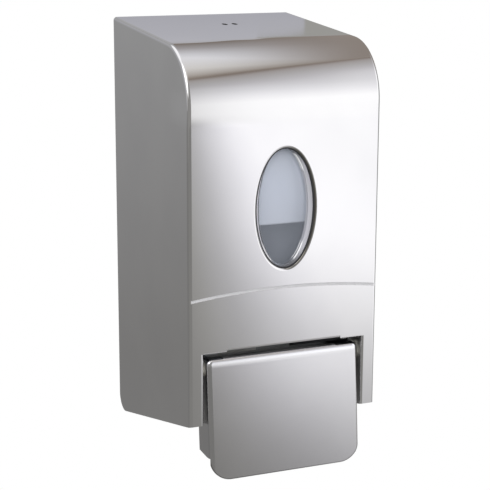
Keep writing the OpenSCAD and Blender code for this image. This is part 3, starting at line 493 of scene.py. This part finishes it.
# the sheet's edge turned in round the window: offset = reach - wide s, depth = drop s^2 for s from 0 to 1,
# closed behind
def makeLip():
    run = np.linspace(0, 1, lip["steps"])
    reach, inner = lip["reach"], lip["reach"] - lip["wide"]
    face = np.stack((reach - lip["wide"] * run, lip["drop"] * run ** 2), -1)
    profile = np.vstack((face, ((inner, lip["back"]), (reach, lip["back"]))))
    made = newPiece("windowLip", ovalRings(profile[:, 0], profile[:, 1]),
                    gridFaces(len(profile), window["steps"], True, True),
                    newMaterial("lipSteel", steel(polished, dressLip)))
    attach(made, "cover")


lens = {"rim": -0.0004, "land": -0.0006, "edge": -0.0022, "riseShare": 0.3, "rimDepth": 0.0014,
        "paneDepth": 0.0038, "flange": 0.005, "flangeDepth": 0.004, "rearDepth": 0.006,
        "paneSoft": (0.0006, 0.0004), "paneSteps": 8, "landSoft": (0.0002, 0.0001), "rimSoft": 0.0001,
        "paneRings": (0, 0.3, 0.6, 0.85), "rearRings": (0.5, 0)}


# the lens as ovals from the middle of its sunk pane out over bevel, rim and flange to the middle of its back
def makeLens():
    rim, land, edge, high, low = (lens[key] for key in ("rim", "land", "edge", "rimDepth", "paneDepth"))
    flange, seat, rear = (lens[key] for key in ("flange", "flangeDepth", "rearDepth"))
    (paneIn, paneOut), (landIn, landOut), rimSoft = lens["paneSoft"], lens["landSoft"], lens["rimSoft"]
    profile = np.vstack((
        softCorner((edge - paneIn, low), (edge, low), (edge + paneOut, low - paneOut), lens["paneSteps"]),
        softCorner((land - landIn, high + landIn), (land, high), (land + landOut, high)),
        softCorner((rim - rimSoft, high), (rim, high), (rim, high + rimSoft)),
        ((rim, seat), (flange, seat), (flange, rear))))
    offset, depth = profile.T
    rise = offset * np.where(offset < 0, lens["riseShare"], 1)
    rings = np.concatenate((ovalRings(offset[0], low, lens["paneRings"], rise[0]),
                            ovalRings(offset, depth, 1, rise), ovalRings(flange, rear, lens["rearRings"])))
    made = newPiece("lensClear", rings, gridFaces(len(rings), window["steps"], False, True),
                    finishes["clear_lens"])
    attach(made, "cover")
    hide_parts("window_lens")


makeBead()
makeLip()
makeLens()
print("window bead, lip and lens made")

# Springs: a round wire carried along a coil, with a flat turn at each end:
# x = r cos, y = r sin about the coil's line, and the height rises slowly, then evenly, then slowly again
coils = {"returnCoil": {"node": "return_spring", "along": 1, "wire": 0.001, "turns": 7, "body": "chassis",
                        "joint": "plunger_slide", "keep": 0.667},
         "latchCoil": {"node": "latch_spring", "along": 2, "wire": 0.0008, "turns": 6, "body": "chassis"}}
winding = {"steps": 40, "sides": 12, "sharp": 60, "flat": (0.7, 1.3), "flatPitch": 0.2}


def makeCoil(name, coil):
    low, high = (np.array(corner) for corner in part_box(coil["node"]))
    along, turns, half = coil["along"], coil["turns"], coil["wire"] / 2
    side, other = [axis for axis in range(3) if axis != along]
    middle = (low + high) / 2
    r = (high[side] - low[side]) / 2 - half
    t = np.linspace(0, turns, turns * winding["steps"] + 1)
    (closed, opened), slow = winding["flat"], winding["flatPitch"]
    pitch = np.interp(t, (0, closed, opened, turns - opened, turns - closed, turns),
                      (slow, slow, 1, 1, slow, slow))
    climb = np.concatenate(((0,), np.cumsum((pitch[1:] + pitch[:-1]) / 2)))
    height = low[along] + half + (high[along] - low[along] - 2 * half) * climb / climb[-1]
    b = np.linspace(0, math.tau, winding["sides"], endpoint=False)
    thick = np.full((len(t), 1), half)
    thick[[0, -1]] = 0
    reach = r + thick * np.cos(b)
    points = np.zeros((len(t), len(b), 3))
    points[..., side] = middle[side] + reach * np.cos(math.tau * t)[:, None]
    points[..., other] = middle[other] + reach * np.sin(math.tau * t)[:, None]
    points[..., along] = height[:, None] + thick * np.sin(b)
    made = newPiece(name, points, gridFaces(len(t), len(b), False, True),
                    finishes["spring_steel"], winding["sharp"])
    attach(made, coil["body"])
    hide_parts(coil["node"])
    if "joint" in coil:
        anchor = middle.copy()
        anchor[along] = high[along]
        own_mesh(made)


for name, coil in coils.items():
    makeCoil(name, coil)
print("springs made")

# Camera: where it stands comes from its angles and from where one point of the part is seen
shot = {"yaw": 22.66, "pitch": 13.24, "roll": -0.20, "focal": 1448.3, "picture": 490, "sensor": 36.0,
        "nearest": 0.01, "aim": (0, -0.048, -0.010), "aimSeen": (-0.00706, 0.00874, 0.84073)}


def makeCamera():
    yaw, pitch, roll = (math.radians(shot[key]) for key in ("yaw", "pitch", "roll"))
    level = Vector((math.sin(yaw), math.cos(yaw), 0))
    down = Vector((0, 0, -1))
    forward = math.cos(pitch) * level + math.sin(pitch) * down
    low = math.cos(pitch) * down - math.sin(pitch) * level
    side = Vector((math.cos(yaw), -math.sin(yaw), 0))
    right = math.cos(roll) * side + math.sin(roll) * low
    low = math.cos(roll) * low - math.sin(roll) * side
    turn = Matrix((right, low, forward))
    data = bpy.data.cameras.new("camera")
    data.sensor_width = shot["sensor"]
    data.lens = shot["focal"] * shot["sensor"] / shot["picture"]
    data.clip_start = shot["nearest"]
    made = bpy.data.objects.new("camera", data)
    scene.collection.objects.link(made)
    place = Vector(shot["aim"]) - turn.transposed() @ Vector(shot["aimSeen"])
    made.matrix_world = Matrix.Translation(place) @ Matrix((right, -low, -forward)).transposed().to_4x4()
    scene.camera = made


makeCamera()

# Studio: a sweep of tones from the ground in front (0) over the front (0.25), ceiling (0.5) and back (0.75).
# Its crease, band and bend lean sideways, and some regions have tones of their own, by their turn
# and by x, how far to the right a ray goes
studio = {"sweep": ((0.0, (0.26, 0.25, 0.24)), (0.19, (1.26, 1.26, 1.29)), (0.278, (1.27, 1.27, 1.30)),
                    (0.295, (1.165, 1.16, 1.20)), (0.309, (1.05, 1.045, 1.09)), (0.328, (0.85, 0.845, 0.885)),
                    (0.361, (0.615, 0.60, 0.63)), (0.383, (0.515, 0.50, 0.51)), (0.408, (0.42, 0.39, 0.385)),
                    (0.424, (0.235, 0.19, 0.16)), (0.440, (0.47, 0.43, 0.40)), (0.471, (0.755, 0.735, 0.72)),
                    (0.520, (0.865, 0.865, 0.905)), (0.553, (0.72, 0.72, 0.76)), (0.615, (0.41, 0.39, 0.40)),
                    (0.66, (0.30, 0.275, 0.27)), (0.704, (0.215, 0.18, 0.155)), (0.7085, (0.60, 0.60, 0.635)),
                    (0.711, (0.49, 0.49, 0.535)), (0.716, (0.40, 0.40, 0.445)), (0.745, (0.37, 0.37, 0.38)),
                    (0.767, (0.32, 0.32, 0.325)), (0.80, (0.225, 0.222, 0.22)), (1.0, (0.18, 0.18, 0.18))),
          "middle": 0.39, "reach": 0.13, "lean": (0.10, 0.81), "leanGrows": (0.31, 0.41), "crease": 0.424,
          "band": 0.52, "bandLean": -0.5, "bandFrom": -0.042, "bandGap": 0.02,
          "bend": 0.7085, "bendDrop": 0.043, "bendFlat": (0.345, 0.405), "fold": 0.7110,
          "overhead": ((0.424, 0.45), (0.700, 0.7085)), "rightDim": (0.350, 0.46),
          "rightDimTone": (0.31, 0.27, 0.245),
          "upLeftTurn": ((0.56, 0.62), (0.709, 0.712)), "upLeft": (0.20, 0.30),
          "upLeftTone": (0.43, 0.43, 0.445),
          "topTurn": ((0.703, 0.7085), (0.735, 0.75)), "rightTop": (0.4200, 0.4215),
          "corner": (0.0012, 0.030), "rightTopTone": (0.36, 0.355, 0.34),
          "ahead": (0.35, 0.40), "left": (0.271, 0.396), "leftTone": (0.30, 0.295, 0.29),
          "rightTurn": (0.34, 0.44), "right": (0.52, 0.75), "rightTone": (1.35, 1.35, 1.38),
          "side": (0.86, 0.965), "sideTone": (0.36, 0.36, 0.365)}
boxes = {"front": {"aim": (-0.62, -0.38, 0.69), "edge": (0.86, 0.94), "tone": (1.9, 1.9, 1.95)},
         "top": {"aim": (-0.424, 0.404, 0.811), "edge": (0.89, 0.95), "tone": (1.2, 1.2, 1.24)}}


# the sweep's own place for a ray's turn: each stretch between crease, band, bend and fold is drawn out evenly
def leanSweep(turn, x):
    crease, band, bend, fold = (studio[key] for key in ("crease", "band", "bend", "fold"))
    aside = (x - studio["middle"]).atLeast(-studio["reach"]).atMost(studio["reach"])
    low, high = studio["lean"]
    steep = low + turn.step(*studio["leanGrows"]) * (high - low)
    creaseAt = crease + aside * high
    bandAt = band + (aside - studio["bandFrom"]).atLeast(0) * studio["bandLean"]
    bandAt = bandAt.atLeast(creaseAt + studio["bandGap"])
    bendAt = bend - (1 - x.step(*studio["bendFlat"])) * studio["bendDrop"]
    under = (turn - aside * steep).atMost(crease)
    between = ((turn - creaseAt) / (bandAt - creaseAt)).held() * (band - crease)
    over = ((turn - bandAt) / (bendAt - bandAt)).held() * (bend - band)
    after = ((turn - bendAt) / (fold - bendAt)).held() * (fold - bend)
    return under + between + over + after + (turn - fold).atLeast(0)


def makeWorld():
    world = bpy.data.worlds.new("studio")
    scene.world = world
    world.use_nodes = True
    world.node_tree.nodes.clear()
    start = Wire(world.node_tree)
    ray = start.node("ShaderNodeTexCoord", None, None, "Generated")
    x, y, z = ray.parts()
    turn = start.math("ARCTAN2", y, z) / math.tau + 0.5
    leant = leanSweep(turn, x)
    room = start.node("ShaderNodeValToRGB", {"stops": studio["sweep"], "spread": "LINEAR"}, {"Fac": leant})
    tall, long = studio["corner"]
    corner = (1 - (turn - studio["fold"]) / tall).held()
    cornered = x + corner * corner * corner * long
    regions = {"rightDimTone": leant.within(*studio["overhead"]) * x.step(*studio["rightDim"]),
               "upLeftTone": turn.within(*studio["upLeftTurn"]) * (1 - x.step(*studio["upLeft"])),
               "rightTopTone": turn.within(*studio["topTurn"]) * cornered.step(*studio["rightTop"]),
               "leftTone": (1 - turn.step(*studio["ahead"])) * (1 - x.step(*studio["left"])),
               "rightTone": x.step(*studio["right"]) * (1 - turn.step(*studio["rightTurn"])),
               "sideTone": x.step(*studio["side"])}
    for tone, region in regions.items():
        room = region.blend(room, studio[tone])
    for box in boxes.values():
        aim = start.node("ShaderNodeVectorMath", {"operation": "DOT_PRODUCT"},
                         {0: ray, 1: box["aim"]}, "Value")
        room = aim.step(*box["edge"]).blend(room, box["tone"])
    seen = start.ray("Is Camera Ray").atLeast(start.ray("Is Transmission Ray"))
    light = start.node("ShaderNodeBackground", None, {"Color": seen.blend(room, (1, 1, 1))})
    start.node("ShaderNodeOutputWorld", None, {"Surface": light})


makeWorld()

# Floor: a card below the part, dim on the left and light on the right as metal shows it, with a painted shadow
# near the part, and left out of the picture
floor = {"height": -0.142, "x": (-1.2, 8), "y": (-12, -0.15),
         "edge": 0.202, "edgeFrom": -0.36, "edgeRun": 0.334, "farFrom": -1.43, "farRun": 0.040,
         "soft": (-0.18, 0.10),
         "ramp": ((0.0, (0.25, 0.247, 0.242)), (0.107, (0.40, 0.396, 0.39)), (0.214, (0.585, 0.58, 0.605)),
                  (0.321, (0.855, 0.85, 0.90)), (0.429, (1.115, 1.11, 1.17)), (0.536, (1.245, 1.24, 1.29)),
                  (1.0, (1.22, 1.22, 1.26))),
         "horizon": (0.08, 0.6), "left": (0.265, 0.39), "horizonTone": (1.26, 1.26, 1.29),
         "back": (-0.9, 0.18), "near": (0.14, 0.50), "shadowTone": (0.252, 0.249, 0.241), "tone": (0.55, 0.55, 0.55)}


def floorCard(start):
    x, y, _ = start.place().parts()
    across = x - floor["edge"] - (floor["edgeFrom"] - y) * floor["edgeRun"]
    across = across - (floor["farFrom"] - y).atLeast(0) * floor["farRun"]
    low, high = floor["soft"]
    tone = start.node("ShaderNodeValToRGB", {"stops": floor["ramp"], "spread": "LINEAR"},
                      {"Fac": (across - low) / (high - low)})
    along = x / (x * x + y * y).root()
    horizon = along.step(*floor["left"]).blend(studio["leftTone"], floor["horizonTone"])
    tone = (-1 / y).step(*floor["horizon"]).blend(horizon, tone)
    tone = along.step(*studio["side"]).blend(tone, studio["sideTone"])
    # painted shadow: the card darkens towards the part, except out to the right
    paintedShadow = y.step(*floor["back"]) * (1 - x.step(*floor["near"]))
    card = start.node("ShaderNodeEmission", None, {"Color": paintedShadow.blend(tone, floor["shadowTone"])})
    matt = start.node("ShaderNodeBsdfDiffuse", None, {"Color": colour4(floor["tone"])})
    lit = start.node("ShaderNodeMixShader", None, {0: start.ray("Is Glossy Ray"), 1: matt, 2: card})
    unseen = start.node("ShaderNodeBsdfTransparent")
    return start.node("ShaderNodeMixShader", None, {0: start.ray("Is Camera Ray"), 1: lit, 2: unseen})


def makeFloor():
    (x0, x1), (y0, y1), z = floor["x"], floor["y"], floor["height"]
    mesh = bpy.data.meshes.new("floor")
    mesh.from_pydata([(x0, y0, z), (x1, y0, z), (x1, y1, z), (x0, y1, z)], [], [(0, 1, 2, 3)])
    mesh.materials.append(newMaterial("floorCard", floorCard))
    made = bpy.data.objects.new("floor", mesh)
    scene.collection.objects.link(made)


makeFloor()

# Lamp: one soft key light from the left in front, which metal doesn't show
lamp = {"from": (-0.4, -1.0, 0.35), "energy": 1.25, "spread": 25}


def makeLamp():
    data = bpy.data.lights.new("key", "SUN")
    data.energy = lamp["energy"]
    data.angle = math.radians(lamp["spread"])
    made = bpy.data.objects.new("key", data)
    scene.collection.objects.link(made)
    made.rotation_euler = Vector(lamp["from"]).to_track_quat("Z", "Y").to_euler()
    made.visible_glossy = False


makeLamp()
scene.view_settings.view_transform = "Standard"
print("camera and studio set")
